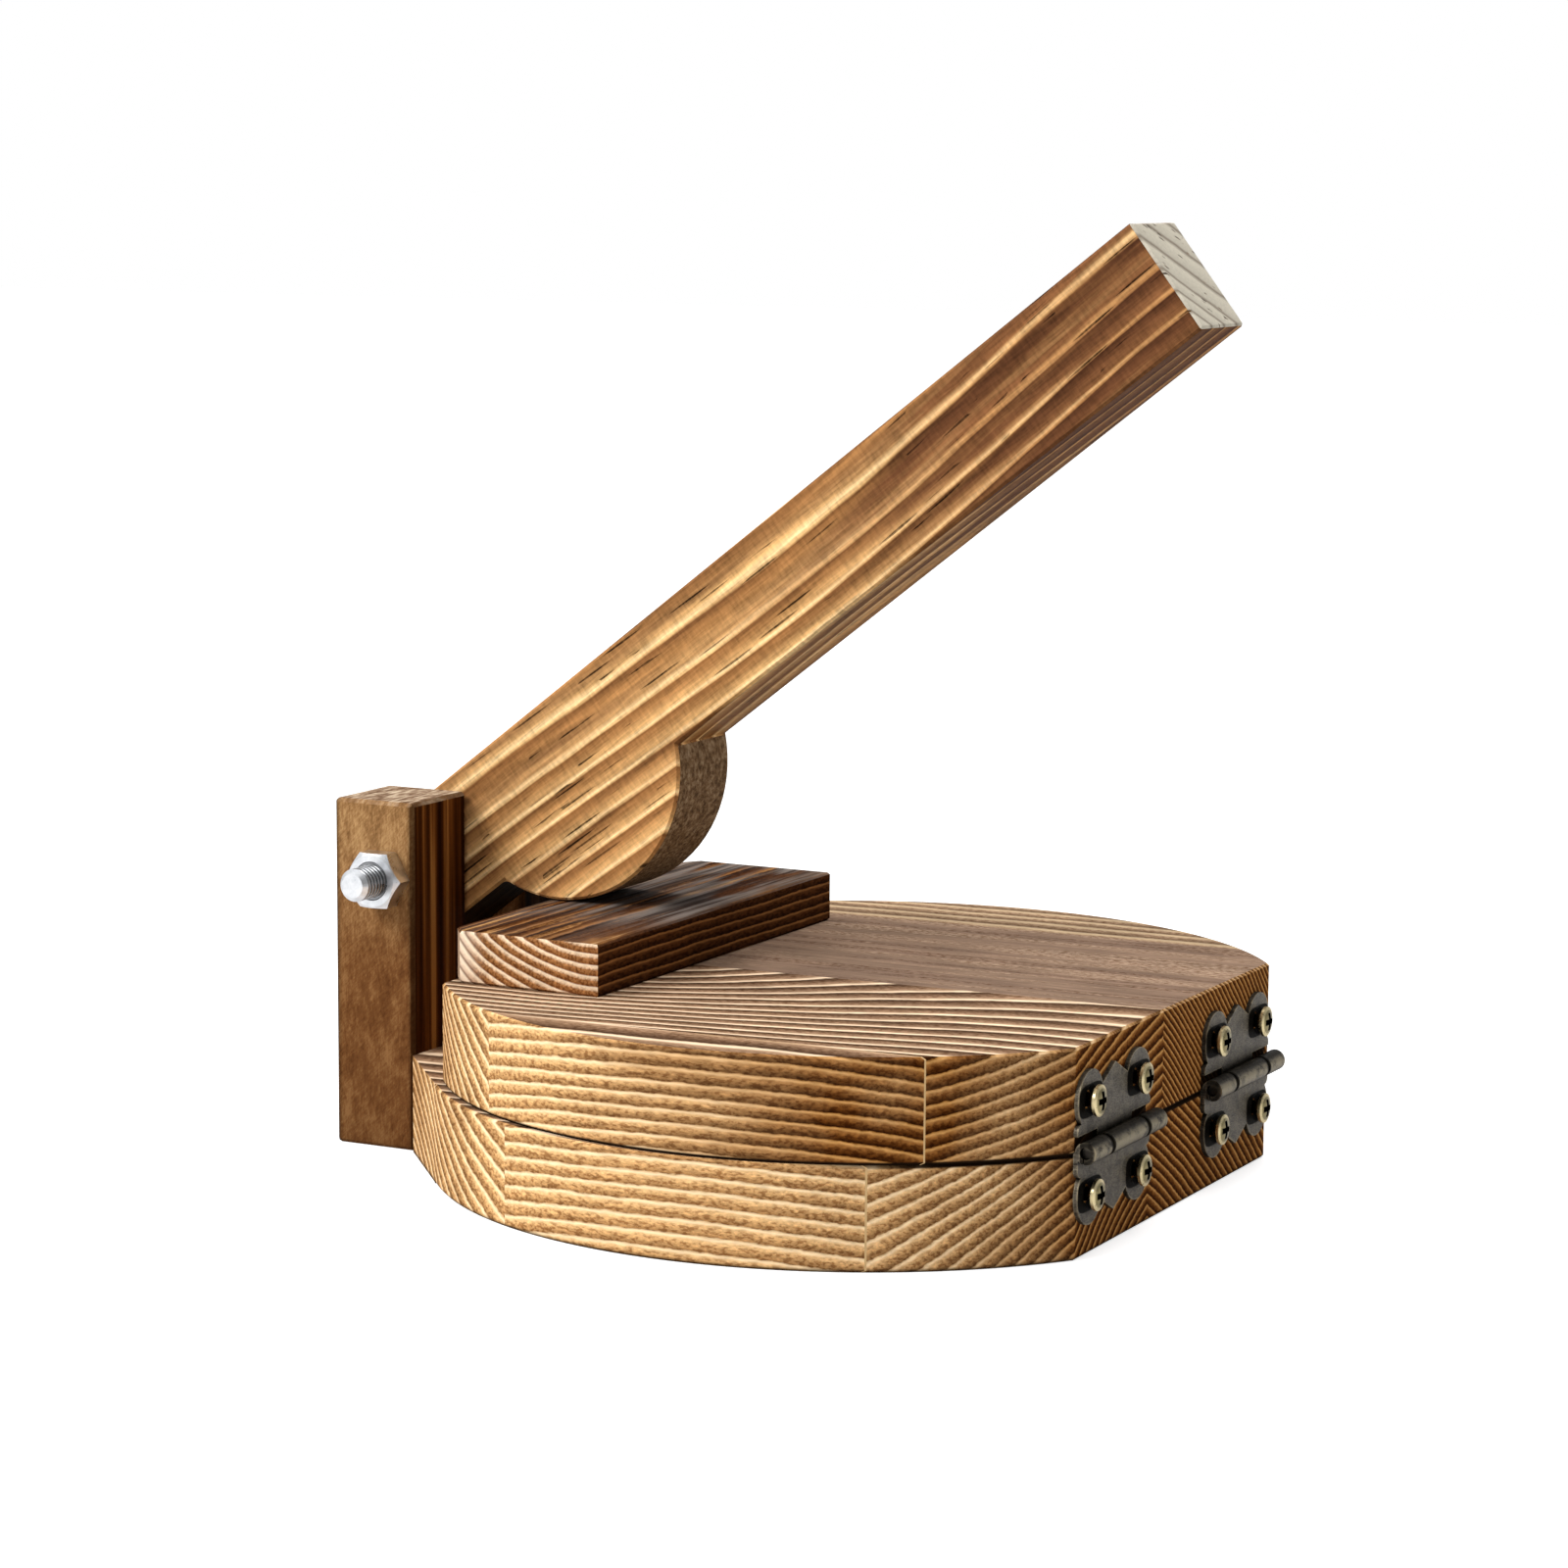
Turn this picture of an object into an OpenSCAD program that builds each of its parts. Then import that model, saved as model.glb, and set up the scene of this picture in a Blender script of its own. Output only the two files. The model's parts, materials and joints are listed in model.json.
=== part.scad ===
// Wooden tortilla press: two hinged round boards, pressed together by a lever whose cam bears on a block.
// The origin is the centre of the base disc, on its underside. X points to the hinges, Z up.

/* [Boards] */
// Thickness of the base board and of the top board
board_t = 18; // [15:0.5:24]
// Radius of the base disc
base_r = 76; // [71:0.5:90]
// How much smaller the top disc's radius is
top_r_less = 0.6; // [0:0.1:2]
// How far the top disc's centre lies towards the hinges
top_shift = 1.3; // [0:0.1:3]
// How deep the flat that carries the hinges is sawn into the base disc
hinge_flat_cut = 13.4; // [10:0.2:20]
// How deep the flat that carries the posts is sawn into the base disc
post_flat_cut = 0.5; // [0.3:0.1:3]
// From the posts to the top board
top_flat_gap = 17; // [12:0.5:20]
// How far in from the disc's edge the corners beside the posts meet it
corner_join_cut = 16; // [12:0.5:18]
// Width of the stave at the base's front edge
base_front_stave_w = 8; // [5:0.5:14]
// Width of the stave at the base's rear edge
base_rear_stave_w = 31; // [20:0.5:38]
// Width of the stave at the top board's front edge
top_front_stave_w = 12; // [6:0.5:16]
// Width of the stave at the top board's rear edge
top_rear_stave_w = 23; // [16:0.5:34]
// Place of the base's middle glue joint
base_joint_y = -14; // [-18:1:0]
// Place of the top board's middle glue joint
top_joint_y = -8; // [-18:1:0]
// Angle between the staves and the length of the press
stave_skew = 1.7; // [0:0.1:3]
// Width that is sanded off each edge of the boards and of the block
board_ease = 0.4; // [0.2:0.1:1]

/* [Pressure block] */
// Thickness of the block
block_t = 9.3; // [6:0.1:14]
// Width of the block, away from the posts
block_w = 30.9; // [24:0.1:40]
// How far each end of the block stays inside the top board's flat
block_end_inset = 1.3; // [0.5:0.1:8]
// How far the block's outer corners are rounded inside the rim of the top board
block_corner_inset = 3; // [2:0.5:6]

/* [Posts] */
// Depth of a post, away from the base
post_d = 16.9; // [14:0.1:22]
// Width of a post, across the press
post_w = 18.5; // [14:0.1:24]
// Height of the front post above the pivot
post_rise = 14.1; // [10:0.1:20]
// How much shorter the rear post is
rear_post_drop = 1.6; // [0:0.1:3]
// Width that is sanded off each edge of a post
post_ease = 0.7; // [0.3:0.1:1.5]

/* [Lever] */
// Length of the lever
lever_l = 195; // [150:1:240]
// Height of the lever's straight section
lever_h = 22; // [18:0.5:26]
// Thickness of the lever board
lever_t = 19.1; // [15:0.1:24]
// Free play between the lever and each post
slot_play = 0.6; // [0.3:0.1:1]
// From the pivot to the lever's short end
lever_tail = 13; // [11:0.5:16]
// Radius of the cam
cam_r = 25.3; // [23:0.1:28]
// From the pivot to the cam's centre
cam_reach = 33; // [31:0.5:38]
// Width that is sanded off each edge of the lever
lever_ease = 0.5; // [0.3:0.1:1]
// Radius of the saw's turn where the cam meets the lever's underside
cam_fillet_r = 1.6; // [1:0.1:3]

/* [Pivot] */
// Height of the pivot above the pressure block
pivot_rise = 5; // [4:0.1:8]
// From the post's inner face to the pivot
pivot_inset = 6.5; // [6:0.1:8.5]
// How far the pivot lies below the lever's mid line
pivot_drop = 0.6; // [0:0.1:1.5]
// Gap between the cam and the block when the press is closed
cam_gap = 0.3; // [0.2:0.1:0.5]
// Radius of the bolt's shank
bolt_r = 3; // [2.5:0.5:3]
// Length of bolt that stands out of the nut
bolt_proud = 6.2; // [2:0.1:12]
// Width across the flats of the bolt's head and of the nut
hex_flats = 10; // [8:0.5:11]
// Thickness of the bolt's head
head_t = 4; // [3:0.5:6]
// Thickness of the nut
nut_t = 4; // [3.5:0.5:7]
// Chamfer on the bolt's end
bolt_chamfer = 0.8; // [0.4:0.1:1]
// Radial clearance of every hole round a bolt or screw
bore_play = 0.06; // [0.02:0.01:0.09]

/* [Post screws] */
// Radius of a post screw's head
post_screw_head_r = 3.6; // [3:0.1:4.5]
// Radius of a post screw's shank
post_screw_r = 1.9; // [1.4:0.1:2.2]
// Length of a post screw
post_screw_l = 38; // [28:1:45]

/* [Hinges] */
// From the front end of the boards' flat to the front hinge, less than zero where the leaf overhangs it
front_hinge_inset = -1.2; // [-2:0.1:6]
// From the rear end of the boards' flat to the rear hinge
rear_hinge_inset = 0.8; // [0:0.1:6]
// Height of the hinge pins above the seam between the boards
hinge_lift = 0.6; // [0:0.1:1]
// Width of a hinge
leaf_w = 30.8; // [30:0.2:34]
// Height of a leaf, from the pin to its middle point
leaf_h = 12.7; // [12:0.1:14]
// Thickness of the leaf's sheet
leaf_t = 0.8; // [0.6:0.1:1]
// Radius of the lobe round each screw
lobe_r = 5.2; // [4.5:0.1:5.4]
// Distance between the two screws of a leaf
hinge_screw_pitch = 20.2; // [19:0.2:22]
// Distance of the screws from the pin
hinge_screw_rise = 8; // [7.5:0.1:9]
// Radius of a hinge pin
pin_r = 1; // [0.8:0.1:1.1]
// Running clearance of the pin in its knuckles
pin_play = 0.05; // [0.02:0.01:0.09]
// From the board to the pin's centre
pin_out = 2.2; // [2.2:0.1:3]
// Share of the hinge's width that the middle knuckle takes
knuckle_share = 0.5; // [0.4:0.05:0.6]
// Gap between neighbouring knuckles
knuckle_gap = 0.7; // [0.2:0.1:1]
// How far each end of the pin lies inside its knuckle
pin_inset = 1; // [0:0.1:1.5]

/* [Hinge screws] */
// Radius of the head's rim
screw_head_r = 2.7; // [2.3:0.1:3]
// Thickness of the head's rim
screw_rim_h = 0.5; // [0.2:0.1:0.6]
// Height of the head's cone, under the rim
screw_cone_h = 1.3; // [1:0.1:1.6]
// Height of the head's crown, above the rim
screw_crown = 0.6; // [0.2:0.1:0.8]
// How far the rim stands above the leaf, as the screws aren't driven home
screw_stand = 1.7; // [1.4:0.1:2.4]
// Radius of the shank
screw_r = 1.25; // [1:0.05:1.4]
// Length of the shank under the head
screw_l = 11; // [8:0.5:14]
// Length of each arm of the cross recess, from tip to tip
cross_l = 3.2; // [2.4:0.1:3.4]
// Width of each arm of the cross recess
cross_w = 0.95; // [0.5:0.05:1.1]
// Depth of the cross recess
cross_d = 1.3; // [0.8:0.1:1.6]

/* [Hidden] */

$fn = 96;
// How far a cut runs past the piece that it cuts
overrun = 1;
// The two discs and the flats of their boards
top_r = base_r - top_r_less;
hinge_flat_x = base_r - hinge_flat_cut;
post_flat_x = base_r - post_flat_cut;
top_flat_x = post_flat_x - top_flat_gap;
// Lines between the staves of each board, from its front rim to its rear rim
base_stave_lines = [
  -base_r - overrun, base_front_stave_w - base_r, base_joint_y, base_r - base_rear_stave_w, base_r + overrun
];
top_stave_lines = [
  -top_r - overrun, top_front_stave_w - top_r, top_joint_y, top_r - top_rear_stave_w, top_r + overrun
];
// Heights of the stack
top_z = 2 * board_t;
block_z = top_z + block_t;
pivot_z = block_z + pivot_rise;
post_h = pivot_z + post_rise;
// The posts, either side of the lever
post_y = lever_t / 2 + slot_play;
post_outer_y = post_y + post_w;
pivot_x = -post_flat_x - pivot_inset;
// The base's flat is a little wider than the two posts and the slot between them
post_flat_margin = 0.4;
post_flat_half = post_outer_y + post_flat_margin;
// The lever lies where its cam reaches the block
lever_angle = asin((cam_r + cam_gap - pivot_rise) / norm([cam_reach, pivot_drop]))
  - atan2(pivot_drop, cam_reach);
// Where the base's corners meet its disc
corner_join_x = base_r - corner_join_cut;
corner_join_y = sqrt(pow(base_r, 2) - pow(corner_join_x, 2));
// Half the width of a board's flats, where they meet the disc
base_hinge_half = sqrt(pow(base_r, 2) - pow(hinge_flat_x, 2));
top_hinge_half = sqrt(pow(top_r, 2) - pow(hinge_flat_x - top_shift, 2));
top_flat_half = sqrt(pow(top_r, 2) - pow(top_flat_x + top_shift, 2));
// The pressure block, flush with the top board's flat
block_half = top_flat_half - block_end_inset;
block_corner_r = top_r - block_corner_inset;
// The hinges lie on the part of the flat that both boards have
hinge_room = min(base_hinge_half, top_hinge_half) - leaf_w / 2;
front_hinge_y = front_hinge_inset - hinge_room;
rear_hinge_y = hinge_room - rear_hinge_inset;
// The hinge pin's height, and the knuckles round it
pin_z = board_t + hinge_lift;
knuckle_wall = 0.85;
knuckle_r = pin_r + pin_play + knuckle_wall;
curl_slit = 0.25;
middle_knuckle = leaf_w * knuckle_share;
leaf_cutback = knuckle_r + knuckle_gap;
// Outline of a leaf: side beads, middle point and screw holes
bead_r = 1.3;
bead_rise = 3.2;
notch_rise = 10.2;
notch_half = 4.9;
leaf_hole_play = 0.3;
leaf_hole_r = screw_r + leaf_hole_play;
sink_margin = 0.1;
leaf_sink_r = screw_head_r - sink_margin;
pilot_r = screw_r + bore_play;
// A wood screw's point takes this share of its shank, and a post screw's head this share of its radius
point_share = 0.3;
post_sink_share = 0.5;
post_screw_z = board_t / 2;
post_screw_pitch = board_t / 2;
post_screw_y = post_y + post_w / 2;
// Across the corners of a hexagon, and how far its corners are turned off
hex_r = hex_flats / 2 / cos(30);
hex_turn_share = 0.95;
hex_turn_rise = 0.9;

base_color = "burlywood";
top_color = "peru";
block_color = "sienna";
post_color = "saddlebrown";
lever_color = "goldenrod";
bronze_color = "darkslategray";
brass_color = "darkkhaki";
zinc_color = "silver";

// Half-diagonal square, which cuts a chamfer of its own size when it is centred on an edge
module ease_section(ease) {
  polygon([[ease, 0], [0, ease], [-ease, 0], [0, -ease]]);
}

// Cutter for the straight edge from p to q at one height
module straight_ease(p, q, z, ease) {
  run = q - p;
  translate([p[0], p[1], z])
    rotate([0, 0, atan2(run[1], run[0])])
      translate([-overrun, 0, 0])
        rotate([90, 0, 90])
          linear_extrude(norm(run) + 2 * overrun) ease_section(ease);
}

// Cutter for the round edge of a disc at one height
module round_ease(r, z, ease) {
  translate([0, 0, z]) rotate_extrude() translate([r, 0]) ease_section(ease);
}

// Box from its lowest corner, with every edge eased
module eased_box(size, ease) {
  function cut_corners(w, h) = [
    [ease, 0], [w - ease, 0], [w, ease], [w, h - ease],
    [w - ease, h], [ease, h], [0, h - ease], [0, ease]
  ];
  intersection() {
    linear_extrude(size[2]) polygon(cut_corners(size[0], size[1]));
    translate([0, size[1], 0]) rotate([90, 0, 0])
      linear_extrude(size[1]) polygon(cut_corners(size[0], size[2]));
    rotate([90, 0, 90]) linear_extrude(size[0]) polygon(cut_corners(size[1], size[2]));
  }
}

// Runs its children once for each of the two hinges
module at_both_hinges() {
  for (y = [front_hinge_y, rear_hinge_y]) translate([hinge_flat_x, y, pin_z]) children();
}

// Holes for the screws of one pair of leaves, above the pin (side 1) or below it (side -1)
module hinge_pilots(side) {
  at_both_hinges()
    for (y = [-1, 1])
      translate([0, y * hinge_screw_pitch / 2, side * hinge_screw_rise])
        rotate([0, -90, 0]) translate([0, 0, -overrun]) cylinder(r = pilot_r, h = screw_l + overrun);
}

// Places the two screws of a post, heads outwards, pointing along +Z of the child
module at_post_screws(side) {
  for (z = [-1, 1])
    translate([
      -post_flat_x - post_d,
      side * post_screw_y,
      post_screw_z + z * post_screw_pitch / 2
    ]) rotate([0, 90, 0]) children();
}

module base_outline() {
  intersection() {
    union() {
      circle(r = base_r);
      polygon([
        [0, 0], [-corner_join_x, corner_join_y], [-post_flat_x, post_flat_half],
        [-post_flat_x, -post_flat_half], [-corner_join_x, -corner_join_y]
      ]);
    }
    translate([-post_flat_x, -base_r]) square([post_flat_x + hinge_flat_x, 2 * base_r]);
  }
}

module base_board() {
  difference() {
    linear_extrude(board_t) base_outline();
    for (z = [0, board_t]) {
      intersection() {
        round_ease(base_r, z, board_ease);
        translate([overrun - corner_join_x, -base_r - overrun, z - overrun])
          cube([base_r + hinge_flat_x, 2 * (base_r + overrun), 2 * overrun]);
      }
      straight_ease([hinge_flat_x, -base_hinge_half], [hinge_flat_x, base_hinge_half], z, board_ease);
    }
    hinge_pilots(-1);
    for (side = [-1, 1])
      at_post_screws(side)
        translate([0, 0, post_d - overrun])
          cylinder(r = post_screw_r + bore_play, h = post_screw_l - post_d + overrun);
  }
}

module top_board() {
  difference() {
    intersection() {
      translate([top_shift, 0, board_t]) cylinder(r = top_r, h = board_t);
      translate([-top_flat_x, -top_r, board_t]) cube([top_flat_x + hinge_flat_x, 2 * top_r, board_t]);
    }
    for (z = [board_t, top_z]) {
      translate([top_shift, 0, 0]) round_ease(top_r, z, board_ease);
      straight_ease([hinge_flat_x, -top_hinge_half], [hinge_flat_x, top_hinge_half], z, board_ease);
      straight_ease([-top_flat_x, -top_flat_half], [-top_flat_x, top_flat_half], z, board_ease);
    }
    hinge_pilots(1);
  }
}

// One stave of a board: the strip between two of the board's lines
module stave(number, lines) {
  from_y = lines[number - 1];
  to_y = lines[number];
  intersection() {
    children();
    rotate([0, 0, stave_skew]) translate([-2 * base_r, from_y, -overrun])
      cube([4 * base_r, to_y - from_y, top_z + 2 * overrun]);
  }
}

module base_stave(number) {
  color(base_color) stave(number, base_stave_lines) base_board();
}

module top_stave(number) {
  color(top_color) stave(number, top_stave_lines) top_board();
}

module pressure_block() {
  inner_x = block_w - top_flat_x;
  corner_y = sqrt(pow(block_corner_r, 2) - pow(top_flat_x + top_shift, 2));
  color(block_color) difference() {
    intersection() {
      translate([-top_flat_x, -block_half, top_z]) cube([block_w, 2 * block_half, block_t]);
      translate([top_shift, 0, top_z]) cylinder(r = block_corner_r, h = block_t);
    }
    for (z = [top_z, block_z]) {
      translate([top_shift, 0, 0]) round_ease(block_corner_r, z, board_ease);
      straight_ease([-top_flat_x, -corner_y], [-top_flat_x, corner_y], z, board_ease);
      straight_ease([inner_x, -block_half], [inner_x, block_half], z, board_ease);
      for (side = [-1, 1])
        straight_ease([-top_flat_x, side * block_half], [inner_x, side * block_half], z, board_ease);
    }
  }
}

// Post on one side of the lever, with its bolt hole and the countersunk holes of its two screws
module post(side, height) {
  color(post_color) difference() {
    translate([-post_flat_x - post_d, side > 0 ? post_y : -post_outer_y, 0])
      eased_box([post_d, post_w, height], post_ease);
    translate([pivot_x, side * (post_y - overrun), pivot_z])
      rotate([side > 0 ? -90 : 90, 0, 0]) cylinder(r = bolt_r + bore_play, h = post_w + 2 * overrun);
    at_post_screws(side) post_screw_hole();
  }
}

module post_screw_hole() {
  sink = post_screw_head_r * post_sink_share;
  translate([0, 0, -overrun]) cylinder(r = post_screw_r + bore_play, h = post_d + 2 * overrun);
  translate([0, 0, -overrun]) cylinder(r = post_screw_head_r + bore_play, h = overrun + bore_play);
  translate([0, 0, bore_play])
    cylinder(r1 = post_screw_head_r + bore_play, r2 = post_screw_r + bore_play, h = sink);
}

module post_screws(side) {
  sink = post_screw_head_r * post_sink_share;
  point = (post_screw_l - sink) * point_share;
  color(zinc_color) at_post_screws(side) difference() {
    union() {
      cylinder(r1 = post_screw_head_r, r2 = post_screw_r, h = sink);
      translate([0, 0, sink]) cylinder(r = post_screw_r, h = post_screw_l - sink - point);
      translate([0, 0, post_screw_l - point])
        cylinder(r1 = post_screw_r, r2 = post_screw_r * point_share, h = point);
    }
    cross_recess();
  }
}

// Cross recess cut down from z = 0 into a head that lies above it or below it
module cross_recess() {
  for (turn = [0, 90])
    rotate([0, 0, turn])
      translate([-cross_l / 2, -cross_w / 2, -cross_d]) cube([cross_l, cross_w, 2 * cross_d]);
}

// The lever before it is turned up: X runs along its mid line from the pivot, Z across it
module lever_blank() {
  half = lever_h / 2;
  fillet_z = half + cam_fillet_r;
  fillet_x = cam_reach - sqrt(pow(cam_r + cam_fillet_r, 2) - pow(fillet_z, 2));
  meet_x = cam_reach - sqrt(pow(cam_r, 2) - pow(half, 2));
  touch_share = cam_r / (cam_r + cam_fillet_r);
  translate([-lever_tail, -lever_t / 2, -half]) eased_box([lever_l, lever_t, lever_h], lever_ease);
  intersection() {
    translate([cam_reach, lever_t / 2, 0]) rotate([90, 0, 0]) cam_disc();
    translate([cam_reach - cam_r - overrun, -lever_t, -cam_r - overrun])
      cube([2 * (cam_r + overrun), 2 * lever_t, cam_r + overrun + half - 2 * lever_ease]);
  }
  translate([0, lever_t / 2 - lever_ease, 0]) rotate([90, 0, 0])
    linear_extrude(lever_t - 2 * lever_ease) difference() {
      polygon([
        [fillet_x, -half],
        [meet_x, lever_ease - half],
        [cam_reach - (cam_reach - fillet_x) * touch_share, -fillet_z * touch_share]
      ]);
      translate([fillet_x, -fillet_z]) circle(r = cam_fillet_r);
    }
}

// The cam's disc, lying on z = 0 with both rims eased
module cam_disc() {
  rotate_extrude() polygon([
    [0, 0], [cam_r - lever_ease, 0], [cam_r, lever_ease],
    [cam_r, lever_t - lever_ease], [cam_r - lever_ease, lever_t], [0, lever_t]
  ]);
}

module lever() {
  color(lever_color) translate([pivot_x, 0, pivot_z]) rotate([0, -lever_angle, 0]) difference() {
    translate([0, 0, pivot_drop]) lever_blank();
    translate([0, lever_t / 2 + overrun, 0]) rotate([90, 0, 0])
      cylinder(r = bolt_r + bore_play, h = lever_t + 2 * overrun);
  }
}

// Hexagon with its corners turned off at the face z = height
module hex_blank(height) {
  intersection() {
    cylinder(r = hex_r, h = height, $fn = 6);
    union() {
      cylinder(r = hex_r, h = height - hex_turn_rise);
      translate([0, 0, height - hex_turn_rise])
        cylinder(r1 = hex_r, r2 = hex_flats / 2 * hex_turn_share, h = hex_turn_rise);
    }
  }
}

// Bolt with its head on the rear post, its end standing out of the nut on the front post
module pivot_bolt() {
  bolt_l = 2 * post_outer_y + nut_t + bolt_proud;
  color(zinc_color) translate([pivot_x, post_outer_y, pivot_z]) {
    rotate([-90, 0, 0]) hex_blank(head_t);
    rotate([90, 0, 0]) {
      cylinder(r = bolt_r, h = bolt_l - bolt_chamfer);
      translate([0, 0, bolt_l - bolt_chamfer])
        cylinder(r1 = bolt_r, r2 = bolt_r - bolt_chamfer, h = bolt_chamfer);
    }
  }
}

module pivot_nut() {
  color(zinc_color) translate([pivot_x, -post_outer_y, pivot_z]) rotate([90, 0, 0]) difference() {
    hex_blank(nut_t);
    translate([0, 0, -overrun]) cylinder(r = bolt_r + bore_play, h = nut_t + 2 * overrun);
  }
}

// Flat outline of a leaf, with the pin's line along X and the leaf above it
module leaf_outline() {
  half = leaf_w / 2;
  difference() {
    union() {
      translate([-half, 0]) square([leaf_w, leaf_cutback]);
      for (side = [-1, 1]) {
        translate([side * hinge_screw_pitch / 2, hinge_screw_rise]) circle(r = lobe_r);
        translate([side * (half - bead_r), bead_rise]) circle(r = bead_r);
      }
      polygon([
        [bead_r - half, 0], [half - bead_r, 0], [half - bead_r, bead_rise],
        [hinge_screw_pitch / 2, hinge_screw_rise], [notch_half, notch_rise], [0, leaf_h],
        [-notch_half, notch_rise], [-hinge_screw_pitch / 2, hinge_screw_rise], [bead_r - half, bead_rise]
      ]);
    }
    for (side = [-1, 1])
      translate([side * hinge_screw_pitch / 2, hinge_screw_rise]) circle(r = leaf_hole_r);
  }
}

// Knuckle rolled round the pin's line, from one place along it to another, with the slit where its curl ends
module knuckle(side, from_y, to_y) {
  difference() {
    translate([pin_out, to_y, 0]) rotate([90, 0, 0]) cylinder(r = knuckle_r, h = to_y - from_y);
    translate([pin_out - pin_r / 2, from_y - overrun, side > 0 ? 0 : -knuckle_r - overrun])
      cube([curl_slit, to_y - from_y + 2 * overrun, knuckle_r + overrun]);
  }
}

module knuckle_room(from_y, to_y) {
  translate([-overrun, from_y, -leaf_cutback])
    cube([pin_out + knuckle_r + 2 * overrun, to_y - from_y, 2 * leaf_cutback]);
}

// Leaf on its board, above the pin (side 1) with the middle knuckle, or below it (side -1) with the outer two
module hinge_leaf(side) {
  half = leaf_w / 2;
  middle = middle_knuckle / 2;
  gap = knuckle_gap / 2;
  color(bronze_color) difference() {
    union() {
      difference() {
        rotate([90, 0, 90]) linear_extrude(leaf_t) turn_over(side) leaf_outline();
        if (side > 0) {
          knuckle_room(-half - overrun, -middle + gap);
          knuckle_room(middle - gap, half + overrun);
        } else {
          knuckle_room(-middle - gap, middle + gap);
        }
      }
      if (side > 0) {
        knuckle(side, -middle + gap, middle - gap);
      } else {
        knuckle(side, -half, -middle - gap);
        knuckle(side, middle + gap, half);
      }
    }
    translate([pin_out, half + overrun, 0]) rotate([90, 0, 0])
      cylinder(r = pin_r + pin_play, h = leaf_w + 2 * overrun);
    for (y = [-1, 1])
      translate([0, y * hinge_screw_pitch / 2, side * hinge_screw_rise]) rotate([0, 90, 0])
        cylinder(r1 = leaf_hole_r, r2 = leaf_sink_r, h = leaf_t);
  }
}

// Turns an outline over, for the leaf below the pin
module turn_over(side) {
  if (side > 0) children();
  else mirror([0, 1]) children();
}

module hinge_pin() {
  color(bronze_color) translate([pin_out, leaf_w / 2 - pin_inset, 0]) rotate([90, 0, 0])
    cylinder(r = pin_r, h = leaf_w - 2 * pin_inset);
}

// Wood screw with a raised countersunk head, the leaf's face at z = 0 and its point down
module hinge_screw() {
  crown_r = (pow(screw_head_r, 2) + pow(screw_crown, 2)) / (2 * screw_crown);
  cone_z = screw_stand - screw_rim_h - screw_cone_h;
  tip_z = -screw_l - leaf_t;
  point = -tip_z * point_share;
  difference() {
    union() {
      translate([0, 0, cone_z]) cylinder(r1 = screw_r, r2 = screw_head_r, h = screw_cone_h);
      translate([0, 0, screw_stand - screw_rim_h]) cylinder(r = screw_head_r, h = screw_rim_h);
      translate([0, 0, screw_stand]) intersection() {
        translate([0, 0, screw_crown - crown_r]) sphere(r = crown_r);
        cylinder(r = screw_head_r, h = screw_crown);
      }
      translate([0, 0, tip_z + point]) cylinder(r = screw_r, h = cone_z - tip_z - point);
      translate([0, 0, tip_z]) cylinder(r1 = screw_r * point_share, r2 = screw_r, h = point);
    }
    translate([0, 0, screw_stand + screw_crown]) cross_recess();
  }
}

module hinge_screws(side) {
  color(brass_color) for (y = [-1, 1])
    translate([leaf_t, y * hinge_screw_pitch / 2, side * hinge_screw_rise]) rotate([0, 90, 0]) hinge_screw();
}

module at_hinge(y) {
  translate([hinge_flat_x, y, pin_z]) children();
}

base_stave(1);  // base_stave_1
base_stave(2);  // base_stave_2
base_stave(3);  // base_stave_3
base_stave(4);  // base_stave_4
top_stave(1);  // top_stave_1
top_stave(2);  // top_stave_2
top_stave(3);  // top_stave_3
top_stave(4);  // top_stave_4
pressure_block();
post(-1, post_h);  // front_post
post(1, post_h - rear_post_drop);  // rear_post
post_screws(-1);  // front_post_screws
post_screws(1);  // rear_post_screws
lever();
pivot_bolt();
pivot_nut();
at_hinge(front_hinge_y) hinge_leaf(-1);  // front_hinge_lower_leaf
at_hinge(front_hinge_y) hinge_leaf(1);  // front_hinge_upper_leaf
at_hinge(front_hinge_y) hinge_pin();  // front_hinge_pin
at_hinge(rear_hinge_y) hinge_leaf(-1);  // rear_hinge_lower_leaf
at_hinge(rear_hinge_y) hinge_leaf(1);  // rear_hinge_upper_leaf
at_hinge(rear_hinge_y) hinge_pin();  // rear_hinge_pin
at_hinge(front_hinge_y) hinge_screws(-1);  // front_hinge_lower_screws
at_hinge(front_hinge_y) hinge_screws(1);  // front_hinge_upper_screws
at_hinge(rear_hinge_y) hinge_screws(-1);  // rear_hinge_lower_screws
at_hinge(rear_hinge_y) hinge_screws(1);  // rear_hinge_upper_screws
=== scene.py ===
import json
from math import cos, pi, radians, sin

import bpy
from mathutils import Matrix, Vector


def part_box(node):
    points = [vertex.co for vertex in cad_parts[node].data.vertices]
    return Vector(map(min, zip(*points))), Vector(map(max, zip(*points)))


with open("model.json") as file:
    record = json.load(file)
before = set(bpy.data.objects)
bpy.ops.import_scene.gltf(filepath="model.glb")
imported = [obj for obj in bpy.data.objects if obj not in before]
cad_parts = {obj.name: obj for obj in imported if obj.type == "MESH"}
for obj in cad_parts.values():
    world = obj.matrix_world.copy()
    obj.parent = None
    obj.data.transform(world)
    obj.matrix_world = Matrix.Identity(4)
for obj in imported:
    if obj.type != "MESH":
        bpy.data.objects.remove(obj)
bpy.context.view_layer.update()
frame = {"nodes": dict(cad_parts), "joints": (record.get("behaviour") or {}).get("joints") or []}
nodes = frame["nodes"]
joints = {joint["name"]: joint for joint in frame["joints"]}

# Base board: a disc of torched pine, 18 mm thick, glued up from four staves that run from the posts
# to the hinges. It is sawn from pale wood, scorched with a torch, brushed along the grain and oiled.


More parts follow.
